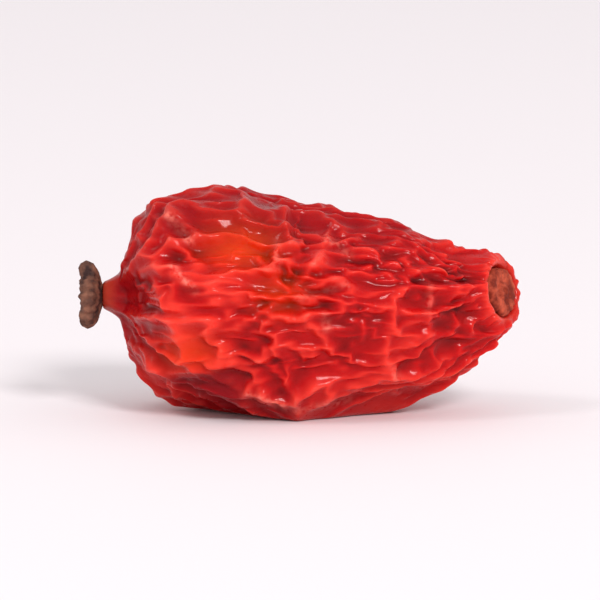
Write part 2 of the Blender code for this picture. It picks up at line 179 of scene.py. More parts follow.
# Noise that lines wander by: swings in one unit, offset into the noise, and reach
MESH_WANDER = ((4, 9, 0.050), (14, 9, 0.010))
FACET_WANDER = ((1.7, 3, 0.100), (5.0, 3, 0.035))
FOLD_BEND = (1.1, 5, 0.22)
FOLD_DRIFT_ALONG = ((2.6, 17, 0.50), (7, 23, 0.22))
FOLD_DRIFT_ROUND = ((8, 41, 0.10), (17, 5, 0.05))
FOLD_SWELLING = ((2.2, 31, 0.60),)

# Which part of the noise the cross folds, each axis of a drift and the sway of pleats come from
CROSS_FOLD_OFFSET = 11
AXIS_OFFSET = 10
SWAY_LEVEL = 3

# A distance past the reach of everything that looks at how near a point is
FAR = 2

# Keeps a length that is divided by off zero
TINY = 1e-9


class SkinMap(Enum):
    """Numbers that a mesh keeps at each point, by the names that the materials read."""

    FINE_RELIEF = "fine_relief"
    BROAD_RELIEF = "broad_relief"
    # Painted highlights along ridges of the front
    PALE = "pale"
    GLOW = "glow"
    SHADE = "shade"
    ENDS = "ends"


def noise_at(points: Array) -> Array:
    """Smooth noise, about -1 to 1, at each point."""
    return np.array([noise.noise(Vector(point)) for point in points])


def drift(points: Array, scale: float, offset: float) -> Array:
    """A noise vector at each point, of scale swings in one unit, from the noise moved by offset."""
    moved = points * scale + offset
    return np.column_stack([noise_at(moved + AXIS_OFFSET * axis) for axis in range(3)])


def swings(points: Array, waves: Waves) -> Array:
    """The sum of several noises at each point."""
    return sum(reach * noise_at(points * scale + offset) for scale, offset, reach in waves)


def wandered(unit: Array, waves: Waves) -> Array:
    """Unit vectors turned a little by noise, so that lines through them wander."""
    moved = unit + sum(reach * drift(unit, scale, offset) for scale, offset, reach in waves)
    return moved / np.linalg.norm(moved, axis=1)[:, None]


def pleats_round(turn: Array, count: int, sway: float, sways: int) -> Array:
    """Waves round an axis, from -1 to 1, whose spacing is uneven."""
    return np.sin(count * turn + sway * np.sin(sways * turn))


def raised_net(points: Array, width: float) -> Array:
    """1 on the borders of a cell pattern, falling off inside the cells by a width in cells."""
    seeds = np.array([noise.voronoi(Vector(point))[0][:2] for point in points])
    return np.exp((seeds[:, 0] - seeds[:, 1]) / width)


def eased(low: float, high: float, value: Array) -> Array:
    """0 below low, 1 above high, and a smooth step between them."""
    share = np.clip((value - low) / (high - low), 0, 1)
    return share * share * (3 - 2 * share)


@dataclass(frozen=True)
class BerryForm:
    """The shape of the fruit before its skin wrinkles.

    Directions and points are from the fruit's middle. Lengths are in millimetres, and what the facets and
    folds measure is a share of the half height. A pair says where something starts and is complete.
    """

    stigma_length: float = 3.80
    stalk_length: float = 4.20
    half_depth: float = 2.28
    half_height: float = 2.34
    stigma_bluntness: Pair = (3.3, 4.8)
    stalk_bluntness: Pair = (2.3, 2.8)
    end_blend: float = 3
    other_facets: int = 30
    other_depths: Pair = (0.04, 0.09)
    facet_seed: int = 7
    facet_apart: float = 0.84
    facet_scatter: float = 0.14
    facet_facing: float = 0.2
    facet_clear: float = 9.0
    facet_sharpness: float = 70
    facet_ridge: float = 0.045
    facet_ridge_width: float = 0.035
    fold_height: float = 0.075
    folds_round: float = 2.3
    fold_width: float = 0.17
    fold_stretch: float = 2.4
    fold_fade: float = 0.75
    fold_fade_power: float = 1.6
    fold_strength: float = 1.05
    cross_fold_height: float = 0.012
    cross_fold_steepness: float = 2.2
    cross_fold_slant: Triple = (0.6, 0.5, 0.4)
    front_ridge_width: float = 0.11
    front_relief: float = 1.1
    front_fade: float = 0.6
    stigma_up: float = 0.20
    funnel_radius: float = 0.90
    funnel_depth: float = 0.16
    neck_tip: float = -4.42
    scar_place: Triple = (3.82, -0.34, 0.33)
    scar_faces: Triple = (0.84, -0.50, 0.20)
    scar_blend: Pair = (0.62, 0.95)
    scar_depth: Pair = (-1.0, -0.6)
    scar_lip: Pair = (0.76, 0.14)
    scar_pleat: float = 0.04
    neck_pleat: float = 0.25
    rest_skirt: float = 0.50
    rest_reach: Pair = (0.35, 1.00)
    rest_slope: float = 0.12
    free_of_neck: Pair = (0.28, 0.95)
    free_of_scar: Pair = (0.54, 0.68)
    free_below_scar: Pair = (-0.9, -0.5)
    free_of_spot: Pair = (0.0, 0.5)
    free_of_floor: Pair = (0.03, 0.35)

    @property
    def half(self) -> Array:
        """Half sizes along X, Y and Z, the length toward the stalk end."""
        return np.array((self.stalk_length, self.half_depth, self.half_height))

    @property
    def scar_axis(self) -> Array:
        """Unit vector that the stalk scar faces along."""
        return np.array(self.scar_faces) / np.linalg.norm(self.scar_faces)

    @staticmethod
    def direction(lean: float, turn: float) -> Array:
        """Unit vector that leans toward the stalk end and turns up from the front.

        Args:
            lean: Degrees from the middle toward the stalk end.
            turn: Degrees up from the front.

        Returns:
            The unit vector.
        """
        lean, turn = math.radians(lean), math.radians(turn)
        across = math.cos(lean)
        return np.array((math.sin(lean), -across * math.cos(turn), across * math.sin(turn)))

    def facet_planes(self) -> tuple[Array, Array]:
        """Normals and depths of the facets: the front's, then others spread evenly over the rest.

        Returns:
            The normals, one a row, and the depths.
        """
        normals = [self.direction(lean, turn) for lean, turn, _ in FRONT_FACETS]
        depths = [depth for _, _, depth in FRONT_FACETS]
        draw = np.random.default_rng(self.facet_seed)
        golden_angle = math.pi * (3 - math.sqrt(5))
        for i in range(self.other_facets):
            along = 1 - 2 * (i + 0.5) / self.other_facets
            out = math.sqrt(1 - along * along)
            turn = golden_angle * i
            normal = np.array((along, out * math.cos(turn), out * math.sin(turn)))
            normal += draw.normal(0, self.facet_scatter, 3)
            normal /= np.linalg.norm(normal)
            depth = draw.uniform(*self.other_depths)
            if max(normal @ other for other in normals[: len(FRONT_FACETS)]) < self.facet_apart:
                normals.append(normal)
                depths.append(depth)
        return np.array(normals), np.array(depths)

    def rounded_body(self, unit: Array) -> Array:
        """The body without facets and folds: blunt toward the stigma, tapered toward the stalk.

        Args:
            unit: Unit vectors, one a row.

        Returns:
            The share of the half sizes in each direction.
        """
        upper = 0.5 + 0.5 * unit[:, 2]
        stigma = np.interp(upper, (0, 1), self.stigma_bluntness)
        stalk = np.interp(upper, (0, 1), self.stalk_bluntness)
        power = stigma + (stalk - stigma) * (0.5 + 0.5 * np.tanh(unit[:, 0] * self.end_blend))
        out = np.hypot(unit[:, 1], unit[:, 2])
        return (np.abs(unit[:, 0]) ** power + out**power) ** (-1 / power)

    def faceted(self, unit: Array) -> tuple[Array, Array]:
        """What the facets leave of each direction's length, with a thin ridge pinched up where two meet.

        Args:
            unit: Unit vectors, one a row.

        Returns:
            The share that is left in each direction, and the directions as they wander.
        """
        wander = wandered(unit, FACET_WANDER)
        normals, depths = self.facet_planes()
        facing = wander @ normals.T
        cuts = (1 - depths) / np.maximum(facing, self.facet_facing)
        cuts = np.where(facing > self.facet_facing, cuts, self.facet_clear)
        cuts = np.column_stack([np.ones(len(unit)), cuts])
        kept = -np.log(np.exp(-self.facet_sharpness * cuts).sum(axis=1)) / self.facet_sharpness
        nearest = np.partition(cuts, 1, axis=1)
        pinch = np.exp(-(nearest[:, 1] - nearest[:, 0]) / self.facet_ridge_width)
        return kept - self.facet_ridge * (1 - pinch), wander

    def folds(self, unit: Array, wander: Array, body: Array) -> Array:
        """Height of the folds: lengthwise ones that close in on both ends, and low ones across them.

        Args:
            unit: Unit vectors, one a row.
            wander: The same, as they wander.
            body: Share of the half sizes in each direction.

        Returns:
            The heights, as a share of the half height.
        """
        along = wander[:, 0] * body * self.stalk_length / self.half_height
        turn = np.arctan2(wander[:, 2], -wander[:, 1])
        scale, offset, reach = FOLD_BEND
        turn += reach * noise_at(np.column_stack([along, unit[:, 1] + offset, unit[:, 2]]) * scale)
        along = along + swings(unit, FOLD_DRIFT_ALONG)
        turn += swings(unit, FOLD_DRIFT_ROUND)
        run = np.column_stack([np.cos(turn), np.sin(turn), along / self.fold_stretch])
        fade = np.clip(np.hypot(unit[:, 1], unit[:, 2]) / self.fold_fade, 0, 1) ** self.fold_fade_power
        strength = fade * (self.fold_strength + swings(unit, FOLD_SWELLING))
        height = self.fold_height * strength * raised_net(self.folds_round * run, self.fold_width)
        slanted = unit * body[:, None] * self.half @ np.array(Euler(self.cross_fold_slant).to_matrix())
        cross = 1 - self.cross_fold_steepness * np.abs(noise_at(slanted + CROSS_FOLD_OFFSET))
        return height + self.cross_fold_height * cross

    def to_size(self, unit: Array, body: Array) -> Array:
        """The body's points from its middle, held to the lines of its top and its bottom.

        Args:
            unit: Unit vectors, one a row.
            body: Share of the half sizes in each direction.

        Returns:
            Points, one a row.
        """
        points = unit * body[:, None] * self.half
        points[:, 0] *= np.where(unit[:, 0] < 0, self.stigma_length / self.stalk_length, 1)
        upper, lower = (
            np.mean([np.interp(points[:, 0] + step, ALONG, shares) for step in ALONG_EASE], axis=0)
            for shares in (UPPER_SHARE, LOWER_SHARE)
        )
        points[:, 1] *= (upper + lower) / 2
        points[:, 2] *= np.where(unit[:, 2] > 0, upper, lower)
        return points

    def seen_from_front(self, points: Array) -> tuple[Array, Array]:
        """Across and up in the plane that the front is seen in, up from the lowest point seen."""
        up = points[:, 2] * math.cos(VIEW_RISE) + points[:, 1] * math.sin(VIEW_RISE)
        return points[:, 0], up + self.half_height

    @staticmethod
    def from_line(across: Array, up: Array, start: Pair, end: Pair) -> Array:
        """How far each place of the front is from a straight line between two others.

        Args:
            across: The places' x.
            up: Their heights.
            start: One end of the line.
            end: Its other end.

        Returns:
            The distances.
        """
        run = np.subtract(end, start)
        share = ((across - start[0]) * run[0] + (up - start[1]) * run[1]) / (run @ run)
        share = np.clip(share, 0, 1)
        return np.hypot(across - start[0] - share * run[0], up - start[1] - share * run[1])

    def front_relief_at(self, points: Array) -> Array:
        """Height of the front's own ridges and dents, nothing on the far side.

        Args:
            points: Points, one a row.

        Returns:
            The heights.
        """
        across, up = self.seen_from_front(points)
        near = np.clip(-points[:, 1] / self.front_fade, 0, 1)
        height = np.zeros(len(points))
        for x1, up1, x2, up2, crest in FRONT_RIDGES:
            away = self.from_line(across, up, (x1, up1), (x2, up2))
            height = np.maximum(height, crest * np.exp(-away / self.front_ridge_width))
        for x, level, radius, depth in FRONT_DENTS:
            away = np.hypot(across - x, up - level)
            height -= depth * np.exp(-((away / radius) ** 2))
        return self.front_relief * near * height

    def from_scar(self, points: Array) -> tuple[Array, Array]:
        """How far each point is out from the stalk scar's axis, and how far along it.

        Args:
            points: Points, one a row.

        Returns:
            The distances out, and the heights above the scar's seat.
        """
        apart = points - np.array(self.scar_place)
        level = apart @ self.scar_axis
        return np.sqrt(np.maximum((apart**2).sum(axis=1) - level**2, 0)), level

    def stalk_seat(self, points: Array) -> Array:
        """Levels the skin round the stalk scar, with a groove at its edge and a swollen, pleated lip.

        Args:
            points: Points, one a row.

        Returns:
            The moved points.
        """
        out, level = self.from_scar(points)
        share = (1 - eased(*self.scar_blend, out)) * eased(*self.scar_depth, level)
        turn = np.arctan2(points[:, 2] - self.scar_place[2], points[:, 1] - self.scar_place[1])
        lip, width = self.scar_lip
        pleats = pleats_round(turn, *SCAR_PLEATS) * np.exp(-(((out - lip) / width) ** 2))
        wanted = np.interp(out, SCAR_OUT, SCAR_LEVEL) + self.scar_pleat * pleats
        return points + self.scar_axis * (share * (wanted - level))[:, None]

    def from_neck(self, points: Array) -> Array:
        """How far each point is out from the neck's axis."""
        return np.hypot(points[:, 1], points[:, 2] - self.stigma_up)

    def stigma_end(self, points: Array) -> Array:
        """Draws the skin of the stigma end in to a funnel, and out of its middle to the neck.

        Args:
            points: Points, one a row.

        Returns:
            The moved points.
        """
        apart = points[:, 1:] - np.array((0, self.stigma_up))
        out = self.from_neck(points)
        end = points[:, 0] < 0
        funnel = self.funnel_depth * np.exp(-((out / self.funnel_radius) ** 2))
        share = np.interp(out, NECK_FROM, NECK_SHARE)
        drawn = np.interp(out, NECK_FROM, NECK_TO) / np.maximum(out, TINY)
        along = (points[:, 0] + funnel) * (1 - share) + self.neck_tip * share
        turn = np.arctan2(apart[:, 1], apart[:, 0])
        drawn *= 1 + self.neck_pleat * share * (1 - share) * pleats_round(turn, *NECK_PLEATS)
        moved = points.copy()
        moved[end, 0] = along[end]
        near = end & (out < NECK_FROM[-1])
        moved[near, 1:] = np.array((0, self.stigma_up)) + apart[near] * drawn[near, None]
        return moved

    @staticmethod
    def off_flat_spot(points: Array) -> Array:
        """How far each point lies outside the flat spot's outline, seen from above.

        Args:
            points: Points, one a row.

        Returns:
            The distances, 0 inside.
        """
        corners = np.array(REST_CORNERS)
        away = np.full(len(points), np.inf)
        outside = np.zeros(len(points), bool)
        for start, end in zip(corners, np.roll(corners, -1, axis=0)):
            run = end - start
            apart = points[:, :2] - start
            share = np.clip(apart @ run / (run @ run), 0, 1)
            away = np.minimum(away, np.hypot(*(apart - share[:, None] * run).T))
            outside |= apart[:, 0] * run[1] > apart[:, 1] * run[0]
        return away * outside

    def pressed_flat(self, points: Array) -> Array:
        """Sinks the underside to the floor on the flat spot and eases it up round that.

        Args:
            points: Points, one a row.

        Returns:
            The moved points.
        """
        away = self.off_flat_spot(points)
        above = points[:, 2] + FRUIT_MIDDLE[2]
        near_floor = 1 - eased(*self.rest_reach, above)
        low = near_floor > 0
        sunk = above * (1 - near_floor * np.exp(-((away / self.rest_skirt) ** 2)))
        pressed = points.copy()
        pressed[low, 2] = np.maximum(sunk, self.rest_slope * away)[low] - FRUIT_MIDDLE[2]
        return pressed

    def surface(self, unit: Array) -> Array:
        """The body that the skin lies on.

        Args:
            unit: Unit vectors, one a row.

        Returns:
            Points, one a row.
        """
        kept, wander = self.faceted(unit)
        body = self.rounded_body(unit) * kept
        body += self.folds(unit, wander, body)
        points = self.to_size(unit, body)
        outward = points / self.half**2
        outward /= np.linalg.norm(outward, axis=1)[:, None]
        points += outward * self.front_relief_at(points)[:, None]
        return self.pressed_flat(self.stigma_end(self.stalk_seat(points)))

    def slack(self, points: Array) -> Array:
        """How freely the skin may fold.

        Args:
            points: Points, one a row.

        Returns:
            0 where it is tied to the neck, the scar or the floor, 1 away from them, one number a point.
        """
        neck = eased(*self.free_of_neck, self.from_neck(points) + FAR * (points[:, 0] > 0))
        out, level = self.from_scar(points)
        scar = eased(*self.free_of_scar, out + FAR * (1 - eased(*self.free_below_scar, level)))
        above = points[:, 2] + FRUIT_MIDDLE[2]
        spot = eased(*self.free_of_spot, self.off_flat_spot(points))
        return neck * scar * np.maximum(spot, eased(*self.free_of_floor, above))


class Links:
    """Which points of a mesh lie next to each other, kept so that numpy sums over them fast."""

    def __init__(self, pairs: Array, count: int) -> None:
        """Sorts the pairs by their first point.

        Args:
            pairs: Two point numbers a row, each pair once.
            count: How many points there are.
        """
        both = np.concatenate([pairs, pairs[:, ::-1]])
        both = both[np.argsort(both[:, 0], kind="stable")]
        self.near = both[:, 0].astype(np.int32)
        self.far = both[:, 1].astype(np.int32)
        self.start = np.searchsorted(self.near, np.arange(count))
        self.share = (1 / np.bincount(self.near, minlength=count)).astype(np.float32)

    def mean(self, values: Array) -> Array:
        """The mean of one value for each link, at each point."""
        total = np.add.reduceat(values, self.start, axis=0)
        return total * (self.share[:, None] if values.ndim > 1 else self.share)

    def bend(self, points: Array) -> Array:
        """From each point to the mean of its neighbours."""
        return self.mean(points[self.far]) - points


def vertex_normals(points: Array, quads: Array) -> Array:
    """Unit normals of a mesh of quads.

    Args:
        points: The points, one a row.
        quads: Four point numbers a row.

    Returns:
        A normal for each point.
    """
    a, b, c, d = (points[quads[:, i]] for i in range(4))
    face = np.cross(c - a, d - b)
    total = np.column_stack(
        [
            sum(np.bincount(quads[:, i], face[:, axis], len(points)) for i in range(4))
            for axis in range(3)
        ]
    )
    return (total / np.linalg.norm(total, axis=1)[:, None]).astype(np.float32)


@dataclass(frozen=True)
class Slackness:
    """How much too large the skin is, as shares of its size, and how it settles.

    It starts a little off the body, unevenly by the seed. In each step it resists bending, is held to the
    body and yields where it rises past the highest folds. Both heights are in millimetres.
    """

    around: float
    along: float
    steps: int
    bend: float
    hold: float
    highest: float
    start: float
    seed: int


class SettlingSkin:
    """A closed skin that is too large for the body under it, and lies down on it in folds."""

    PASSES = 2
    STIFFNESS = 0.8
    DAMPING = 0.92
    UNEVEN_START = 0.5
    YIELD = 0.5
    SMOOTHING = 0.5

    def __init__(self, body: Array, quads: Array, slack: Array) -> None:
        """Keeps the body that the skin lies on.

        Args:
            body: Points of the body from its middle, one a row.
            quads: Four point numbers a row.
            slack: How freely each point may move, 0 to 1.
        """
        self.body = body.astype(np.float32)
        self.slack = slack.astype(np.float32)
        self.normal = vertex_normals(body, quads)
        sides = np.concatenate([quads[:, [i, (i + 1) % 4]] for i in range(4)])
        sides = np.unique(np.sort(sides, axis=1), axis=0)
        corners = np.sort(np.concatenate([quads[:, [0, 2]], quads[:, [1, 3]]]), axis=1)
        self.sides = Links(sides, len(body))
        self.weave = Links(np.concatenate([sides, np.unique(corners, axis=0)]), len(body))

    def rest_lengths(self, how: Slackness) -> Array:
        """The length that each link of the skin wants to have, more round the fruit than along it.

        Args:
            how: How much too large the skin is.

        Returns:
            The lengths, in the order of the links.
        """
        near, far = self.body[self.weave.near], self.body[self.weave.far]
        run = far - near
        length = np.linalg.norm(run, axis=1)
        ring = np.cross((near + far) * (0, 1, 1), (1.0, 0, 0))
        ring /= np.linalg.norm(ring, axis=1)[:, None] + TINY
        share = (run * ring).sum(axis=1) ** 2 / length**2
        free = (self.slack[self.weave.near] + self.slack[self.weave.far]) / 2
        grown = free * (how.along + (how.around - how.along) * share)
        return (length * (1 + grown)).astype(np.float32)

    def settle(self, how: Slackness) -> Array:
        """Lets the skin find its folds.

        Args:
            how: How much too large it is and how it settles.

        Returns:
            The skin's points from the fruit's middle, one a row.
        """
        rest = self.rest_lengths(how)
        draw = np.random.default_rng(how.seed).normal(size=len(self.body)).astype(np.float32)
        lift = how.start * (1 + self.UNEVEN_START * draw) * self.slack
        skin = self.body + self.normal * lift[:, None]
        speed = np.zeros_like(skin)
        hold = (how.hold + (1 - how.hold) * (1 - self.slack))[:, None]
        for _ in range(how.steps):
            before = skin
            skin = skin + self.DAMPING * speed
            skin = skin - hold * (skin - self.body)
            for _ in range(self.PASSES):
                run = skin[self.weave.far] - skin[self.weave.near]
                length = np.sqrt(np.einsum("ij,ij->i", run, run))
                skin = skin + self.weave.mean(run * (self.STIFFNESS * (1 - rest / length))[:, None])
            skin = skin - how.bend * self.sides.bend(self.sides.bend(skin))
            above = ((skin - self.body) * self.normal).sum(axis=1)
            wanted = np.maximum(above, 0)
            wanted = np.minimum(wanted, how.highest + self.YIELD * (wanted - how.highest))
            skin = skin + (wanted - above)[:, None] * self.normal
            skin[:, 2] = np.maximum(skin[:, 2], -FRUIT_MIDDLE[2])
            speed = skin - before
        return skin

    def smoothed(self, skin: Array, passes: int) -> Array:
        """Takes out the folds that are narrower than some width.

        Args:
            skin: The skin's points, one a row.
            passes: How often it is smoothed, more for wider folds.

        Returns:
            The smoothed points.
        """
        for _ in range(passes):
            skin = skin + self.SMOOTHING * self.sides.bend(skin)
        return skin


def linear(code: str) -> tuple[float, float, float, float]:
    """A linear colour from an sRGB hex code.

    Args:
        code: Six hex digits.

    Returns:
        Red, green, blue and full opacity.
    """
    parts = [int(code[i : i + 2], 16) / 255 for i in (0, 2, 4)]
    red, green, blue = (c / 12.92 if c <= 0.04045 else ((c + 0.055) / 1.055) ** 2.4 for c in parts)
    return red, green, blue, 1.0


def set_inputs(tree: Tree, node: Node, inputs: dict[int | str, object]) -> None:
    """Links or sets a node's inputs.

    Args:
        tree: The node tree.
        node: The node.
        inputs: A socket to link from, or a value, by the input's number or name.
    """
    for name, value in inputs.items():
        if isinstance(value, Socket):
            tree.links.new(value, node.inputs[name])
        else:
            node.inputs[name].default_value = value


def add_node(
    tree: Tree,
    kind: str,
    settings: dict[str, object] | None = None,
    inputs: dict[int | str, object] | None = None,
) -> Node:
    """Adds a node with its settings, and links or sets its inputs.

    Args:
        tree: The node tree.
        kind: The node's type name, without the word that all of them start with.
        settings: Values of the node's own properties.
        inputs: A socket to link from, or a value, by the input's number or name.

    Returns:
        The node.
    """
    node = tree.nodes.new("ShaderNode" + kind)
    for name, value in (settings or {}).items():
        setattr(node, name, value)
    set_inputs(tree, node, inputs or {})
    return node


def new_shader(name: str) -> tuple[Material, Tree, Node]:
    """A material of one principled shader.

    Args:
        name: The material's name.

    Returns:
        The material, its node tree and its shader.
    """
    material = bpy.data.materials.new(name)
    material.use_nodes = True
    tree = material.node_tree
    return material, tree, tree.nodes["Principled BSDF"]


@dataclass(frozen=True)
class Layer:
    """A colour that is laid over others as a value goes through a range."""

    value: Socket
    colour: str
    span: Pair = (0.0, 1.0)
    most: float = 1.0


def layered(tree: Tree, base: str, layers: tuple[Layer, ...]) -> Socket:
    """Lays colours over a base colour, in order.

    Args:
        tree: The node tree.
        base: Hex code of the colour under them all.
        layers: The colours.

    Returns:
        The socket of the colour that they make.
    """
    colour = linear(base)
    for layer in layers:
        low, high = layer.span
        share = add_node(tree, "MapRange", inputs={0: layer.value, 1: low, 2: high, 4: layer.most})
        mixed = {0: share.outputs[0], 6: colour, 7: linear(layer.colour)}
        colour = add_node(tree, "Mix", {"data_type": "RGBA"}, mixed).outputs[2]
    return colour


@dataclass(frozen=True)
class DriedSkinFinish:
    """Dried barberry skin: a thin, waxy, see-through red film over sour flesh, shrunk into gloss and folds.

    Its colour is saturated scarlet, lighter on the ridges partly from light through the thin skin and
    partly from painted highlights, darkened by painted shade in the furrows, and orange where painted light
    shines through paler flesh. A span says where a value's range starts and ends, and what sets the painted
    highlights also says what share of them is left at the start.
    """

    # The furrow colour is painted shade, the crest colour partly painted highlight, the bloom colour partly
    # waxy bloom and partly painted highlight, the orange painted light shining through the skin, and the
    # crimson painted shade.
    shaded_furrow: str = "560307"
    flank: str = "b60d10"
    crest: str = "e63a2e"
    bloom_and_highlight: str = "f08878"
    orange: str = "ea4210"
    shade_crimson: str = "7e0812"
    neck_brown: str = "ac3c28"
    sheen: str = "ff8684"
    blotch_mm: float = 1.2
    speckle_mm: float = 0.11
    grain_mm: float = 0.05
    crinkle_mm: Triple = (0.42, 0.16, 0.16)
    depth_mm: float = 0.02
    light_reach_mm: float = 0.6
    fine_share: float = 0.45
    blotch_share: float = 2.0
    flank_span: Pair = (0.1, 1.0)
    crest_span: Pair = (1.0, 2.1)
    bloom_span: Pair = (1.0, 2.4)
    bloom_most: float = 0.40
    highlight_by_height: Triple = (-0.6, 0.9, 0.15)
    highlight_by_speckle: Triple = (0.35, 0.6, 0.0)
    grain_share: float = 0.25
    crinkle_share: float = 0.7
    speckle_span: Pair = (0.35, 0.7)
    roughness: Pair = (0.26, 0.44)

    def colour(self, tree: Tree, maps: dict[SkinMap, Socket], blotch: Socket, speckle: Socket) -> Socket:
        """Painted shade in the furrows, painted highlight on the ridges, and the tints of the places over
        that.

        Args:
            tree: The node tree.
            maps: What the mesh keeps at each point.
            blotch: Noise of broad blotches.
            speckle: Noise of fine speckles.

        Returns:
            The colour's socket.
        """
        fine = maps[SkinMap.FINE_RELIEF]
        multiply_add = {"operation": "MULTIPLY_ADD"}
        level = maps[SkinMap.BROAD_RELIEF]
        for value, share in ((fine, self.fine_share), (blotch, self.blotch_share)):
            level = add_node(tree, "Math", multiply_add, {0: value, 1: share, 2: level}).outputs[0]
        # Painted highlight strokes, kept on the higher folds and broken up by speckles
        painted_highlight = maps[SkinMap.PALE]
        for value, (low, high, least) in ((fine, self.highlight_by_height), (speckle, self.highlight_by_speckle)):
            part = add_node(tree, "MapRange", inputs={0: value, 1: low, 2: high, 3: least}).outputs[0]
            painted_highlight = add_node(tree, "Math", {"operation": "MULTIPLY"}, {0: painted_highlight, 1: part}).outputs[0]
        # Furrow to crest by relief is painted shade and painted highlight; the bloom on the finest crests
        # is partly waxy bloom, partly painted highlight.
        layers = (
            Layer(level, self.flank, self.flank_span),
            Layer(level, self.crest, self.crest_span),
            Layer(fine, self.bloom_and_highlight, self.bloom_span, self.bloom_most),
            Layer(maps[SkinMap.GLOW], self.orange),
            Layer(maps[SkinMap.SHADE], self.shade_crimson),
            Layer(maps[SkinMap.ENDS], self.neck_brown),
            Layer(painted_highlight, self.bloom_and_highlight),
        )
        return layered(tree, self.shaded_furrow, layers)

    def height(self, tree: Tree, place: Socket, grain: Socket, speckle: Socket) -> Socket:
        """The finest relief: creases drawn out along the fruit, speckles and grain.

        Args:
            tree: The node tree.
            place: Where on the object a point is.
            grain: Noise of the skin's grain.
            speckle: Noise of fine speckles.

        Returns:
            The height's socket.
        """
        scale = tuple(1 / (size * MM) for size in self.crinkle_mm)
        stretched = add_node(tree, "Mapping", inputs={"Vector": place, "Scale": scale})
        crinkle = add_node(
            tree,
            "TexNoise",
            {"noise_type": "RIDGED_MULTIFRACTAL"},
            {"Vector": stretched.outputs["Vector"], "Scale": 1.0, "Detail": 3.0, "Distortion": 0.6},
        )
        height = speckle
        for part, share in ((grain, self.grain_share), (crinkle.outputs["Fac"], self.crinkle_share)):
            added = {0: part, 1: share, 2: height}
            height = add_node(tree, "Math", {"operation": "MULTIPLY_ADD"}, added).outputs[0]
        return height

    def build(self) -> Material:
        """Makes the material.

        Returns:
            The material.
        """
        material, tree, shader = new_shader("waxy_dried_barberry_skin")
        place = add_node(tree, "TexCoord").outputs["Object"]
        maps = {
            entry: add_node(tree, "Attribute", {"attribute_name": entry.value}).outputs["Fac"]
            for entry in SkinMap
        }
        blotch, speckle, grain = (
            add_node(tree, "TexNoise", inputs={"Vector": place, "Scale": 1 / (size * MM), "Detail": detail})
            .outputs["Fac"]
            for size, detail in ((self.blotch_mm, 3.0), (self.speckle_mm, 2.0), (self.grain_mm, 2.0))
        )
        low, high = self.speckle_span
        smooth, matt = self.roughness
        rough = add_node(tree, "MapRange", inputs={0: speckle, 1: low, 2: high, 3: smooth, 4: matt})
        height = self.height(tree, place, grain, speckle)
        bump = {"Strength": 0.5, "Distance": self.depth_mm * MM, "Height": height}
        inputs = {
            "Base Color": self.colour(tree, maps, blotch, speckle),
            "Roughness": rough.outputs[0],
            "Normal": add_node(tree, "Bump", inputs=bump).outputs[0],
            "IOR": 1.45,
            "Specular IOR Level": 0.16,
            "Specular Tint": linear(self.sheen),
            "Subsurface Weight": 0.55,
            "Subsurface Radius": (1.0, 0.16, 0.10),
            "Subsurface Scale": self.light_reach_mm * MM,
            "Coat Weight": 0.25,
            "Coat Roughness": 0.10,
            "Coat IOR": 1.4,
        }
        set_inputs(tree, shader, inputs)
        return material


@dataclass(frozen=True)
class DryTissueFinish:
    """Dry, dead plant tissue: matt, fibrous and mottled, with no gloss."""

    name: str
    dark: str
    pale: str
    grain_mm: float
    roughness: float
    bump: float
    depth_mm: float = 0.03
    relief_share: float = 0.5
    pale_span: Pair = (0.25, 0.85)

    def build(self) -> Material:
        """Makes the material.

        Returns:
            The material.
        """
        material, tree, shader = new_shader(self.name)
        place = add_node(tree, "TexCoord").outputs["Object"]
        relief = add_node(tree, "Attribute", {"attribute_name": SkinMap.FINE_RELIEF.value}).outputs["Fac"]
        noise_inputs = {"Vector": place, "Scale": 1 / (self.grain_mm * MM), "Detail": 4.0}
        grain = add_node(tree, "TexNoise", inputs=noise_inputs).outputs["Fac"]
        added = {0: relief, 1: self.relief_share, 2: grain}
        mixed = add_node(tree, "Math", {"operation": "MULTIPLY_ADD"}, added).outputs[0]
        bump = {"Strength": self.bump, "Distance": self.depth_mm * MM, "Height": grain}
        inputs = {
            "Base Color": layered(tree, self.dark, (Layer(mixed, self.pale, self.pale_span),)),
            "Roughness": self.roughness,
            "Specular IOR Level": 0.3,
            "Normal": add_node(tree, "Bump", inputs=bump).outputs[0],
        }
        set_inputs(tree, shader, inputs)
        return material


def mesh_arrays(mesh: Mesh) -> tuple[Array, Array]:
    """The points and quads of a mesh.

    Args:
        mesh: A mesh of quads.

    Returns:
        The points, one a row, and four point numbers a row.
    """
    points = np.empty(3 * len(mesh.vertices))
    mesh.vertices.foreach_get("co", points)
    quads = np.empty(4 * len(mesh.polygons), np.int64)
    mesh.polygons.foreach_get("vertices", quads)
    return points.reshape(-1, 3), quads.reshape(-1, 4)


def set_attribute(mesh: Mesh, entry: SkinMap, values: Array) -> None:
    """Keeps one number a point on the mesh."""
    attribute = mesh.attributes.new(entry.value, "FLOAT", "POINT")
    attribute.data.foreach_set("value", values.astype(np.float32))


def from_shape(shape: Shape, name: str) -> Mesh:
    """Makes a mesh of a shape, and frees the shape.

    Args:
        shape: The shape.
        name: The mesh's name.

    Returns:
        The mesh.
    """
    mesh = bpy.data.meshes.new(name)
    shape.to_mesh(mesh)
    shape.free()
    return mesh


def placed(name: str, data: bpy.types.ID) -> bpy.types.Object:
    """Puts an object into the scene.

    Args:
        name: The object's name.
        data: Its mesh, lamp or camera.

    Returns:
        The object.
    """
    piece = bpy.data.objects.new(name, data)
    bpy.context.collection.objects.link(piece)
    return piece


def dress(name: str, mesh: Mesh, finish: Material, node: str) -> None:
    """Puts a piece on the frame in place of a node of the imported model.

    Args:
        name: The piece's name.
        mesh: Its mesh, already in place.
        finish: Its material.
        node: The node that it stands for.
    """
    mesh.shade_smooth()
    mesh.materials.append(finish)
    piece = placed(name, mesh)
    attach(piece, "root")
    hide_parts(node)
    LOG.info("%s stands for %s, %d faces", name, node, len(mesh.polygons))


